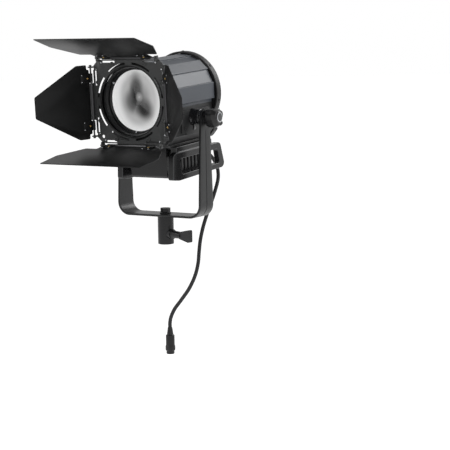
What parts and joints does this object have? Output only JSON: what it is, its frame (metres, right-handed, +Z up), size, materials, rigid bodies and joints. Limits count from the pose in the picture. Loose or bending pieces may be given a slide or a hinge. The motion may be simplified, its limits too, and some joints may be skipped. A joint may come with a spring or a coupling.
{
  "type": "fresnel spotlight",
  "caption": "LED fresnel spotlight head with barndoor leaves on a tilting U yoke, with a spigot receiver and a short captive power lead.",
  "frame": {"origin": "centre of the receiver's bottom rim, where the stand's spigot enters", "axes": "+Z up along the receiver, the beam leaves towards -Y, the tilt lock knob is on +X; the head rests 3.6 degrees nose down"},
  "size_m": [0.2824, 0.3764, 0.5838],
  "materials": {
    "yoke_paint": "satin black powder coat",
    "door_paint": "matt black paint",
    "plate_paint": "satin dark grey paint",
    "cover_paint": "satin blue-grey paint",
    "body_plastic": "fine-textured black casting",
    "knob_plastic": "satin black moulding",
    "rubber": "matt black rubber",
    "steel": "zinc-plated steel",
    "aluminium": "plain extruded aluminium",
    "brass": "turned brass",
    "lens_glass": "pressed fresnel glass, lightly frosted behind",
    "board_green": "solder-masked circuit board",
    "phosphor": "yellow phosphor dome",
    "knob_grey": "light grey moulding",
    "window_black": "glossy display window"
  },
  "bodies": {
    "yoke": {"yoke_bracket": "yoke_paint", "receiver_sleeve": "yoke_paint", "yoke_bolt": "knob_plastic", "tilt_washer_right": "steel", "tilt_washer_left": "steel", "power_cord": "rubber", "cord_connector": "knob_plastic"},
    "head": {"tilt_hub_right": "knob_plastic", "tilt_hub_left": "knob_plastic", "fan_grille": "knob_plastic", "pivot_bolt_left": "steel", "guide_rod_left": "steel", "guide_rod_right": "steel", "data_socket_in": "steel", "data_socket_out": "steel", "lower_housing": "body_plastic", "side_panel_right": "body_plastic", "side_panel_left": "body_plastic", "rear_ring": "body_plastic", "rear_panel": "body_plastic", "rear_bulkhead": "body_plastic", "front_bezel": "body_plastic", "fan_frame": "body_plastic", "base_tray": "body_plastic", "driver_case": "body_plastic", "driver_cover": "body_plastic", "bumper_rail_right": "body_plastic", "bumper_rail_left": "body_plastic", "latch_bracket": "body_plastic", "top_cover": "cover_paint", "lens_barrel": "yoke_paint", "lens_retaining_ring": "yoke_paint", "fresnel_lens": "lens_glass", "driver_board": "board_green", "display_window": "window_black", "cord_gland": "rubber"},
    "spigot_lock": {"spigot_lock_handle": "knob_plastic"},
    "tilt_lock": {"tilt_lock_knob": "knob_plastic", "tilt_lock_screw": "steel"},
    "carriage": {"heat_sink": "aluminium", "led_board": "board_green", "led_emitter": "phosphor", "carriage_nut": "brass"},
    "focus": {"focus_knob": "knob_grey", "lead_screw": "steel"},
    "dimmer": {"dimmer_knob": "knob_plastic"},
    "fan": {"fan_rotor": "knob_plastic"},
    "switch": {"power_switch": "knob_plastic"},
    "latch": {"accessory_latch": "steel"},
    "barndoor": {"barndoor_plate": "plate_paint", "barndoor_ring": "door_paint", "hinge_rod_top": "steel", "hinge_rod_right": "steel", "hinge_rod_bottom": "steel", "hinge_rod_left": "steel"},
    "door_top": {"leaf_top": "door_paint"},
    "door_right": {"leaf_right": "door_paint"},
    "door_bottom": {"leaf_bottom": "door_paint"},
    "door_left": {"leaf_left": "door_paint"}
  },
  "joints": [
    {"name": "head_tilt", "type": "hinge", "parent": "yoke", "child": "head", "pos_m": [0, 0, 0.2335], "axis": [-1, 0, 0], "range_deg": [-50, 80], "deforming": ["power_cord"]},
    {"name": "tilt_lock_turn", "type": "hinge", "parent": "yoke", "child": "tilt_lock", "pos_m": [0.1, 0, 0.2335], "axis": [1, 0, 0], "range_deg": [0, 720]},
    {"name": "spigot_lock_turn", "type": "hinge", "parent": "yoke", "child": "spigot_lock", "pos_m": [0, 0, 0.019], "axis": [0.9659, -0.2588, 0], "range_deg": [0, 720]},
    {"name": "focus_turn", "type": "hinge", "parent": "head", "child": "focus", "pos_m": [0.05, 0.0897, 0.24115], "axis": [0, 0.998, 0.0628], "range_deg": [0, 720]},
    {"name": "carriage_travel", "type": "slide", "parent": "head", "child": "carriage", "axis": [0, 0.998, 0.0628], "range_m": [0, 0.034]},
    {"name": "dimmer_turn", "type": "hinge", "parent": "head", "child": "dimmer", "pos_m": [0.052, 0.10137, 0.21483], "axis": [0, 0.998, 0.0628], "range_deg": [-150, 150]},
    {"name": "fan_spin", "type": "hinge", "parent": "head", "child": "fan", "pos_m": [0, 0.06304, 0.28256], "axis": [0, 0.998, 0.0628], "continuous": true},
    {"name": "switch_rock", "type": "hinge", "parent": "head", "child": "switch", "pos_m": [-0.043, 0.07885, 0.21441], "axis": [-1, 0, 0], "range_deg": [0, 14]},
    {"name": "latch_lift", "type": "hinge", "parent": "head", "child": "latch", "pos_m": [0, -0.08852, 0.34246], "axis": [-1, 0, 0], "range_deg": [0, 60], "stiffness_Nm_per_rad": 0.05, "springref_deg": -11.46},
    {"name": "barndoor_turn", "type": "hinge", "parent": "head", "child": "barndoor", "pos_m": [0, -0.10214, 0.26445], "axis": [0, 0.998, 0.0628], "continuous": true},
    {"name": "door_top_swing", "type": "hinge", "parent": "barndoor", "child": "door_top", "pos_m": [0, -0.11549, 0.34126], "axis": [-1, 0, 0], "range_deg": [-33, 85]},
    {"name": "door_right_swing", "type": "hinge", "parent": "barndoor", "child": "door_right", "pos_m": [0.0775, -0.11063, 0.26391], "axis": [0, -0.0628, 0.998], "range_deg": [-95, 64]},
    {"name": "door_bottom_swing", "type": "hinge", "parent": "barndoor", "child": "door_bottom", "pos_m": [0, -0.10576, 0.18657], "axis": [1, 0, 0], "range_deg": [-21, 80]},
    {"name": "door_left_swing", "type": "hinge", "parent": "barndoor", "child": "door_left", "pos_m": [-0.0775, -0.11063, 0.26391], "axis": [0, 0.0628, -0.998], "range_deg": [-95, 89]}
  ],
  "couplings": [
    {"joint": "focus_turn", "follows": "carriage_travel", "rad_per_m": 369.59}
  ]
}
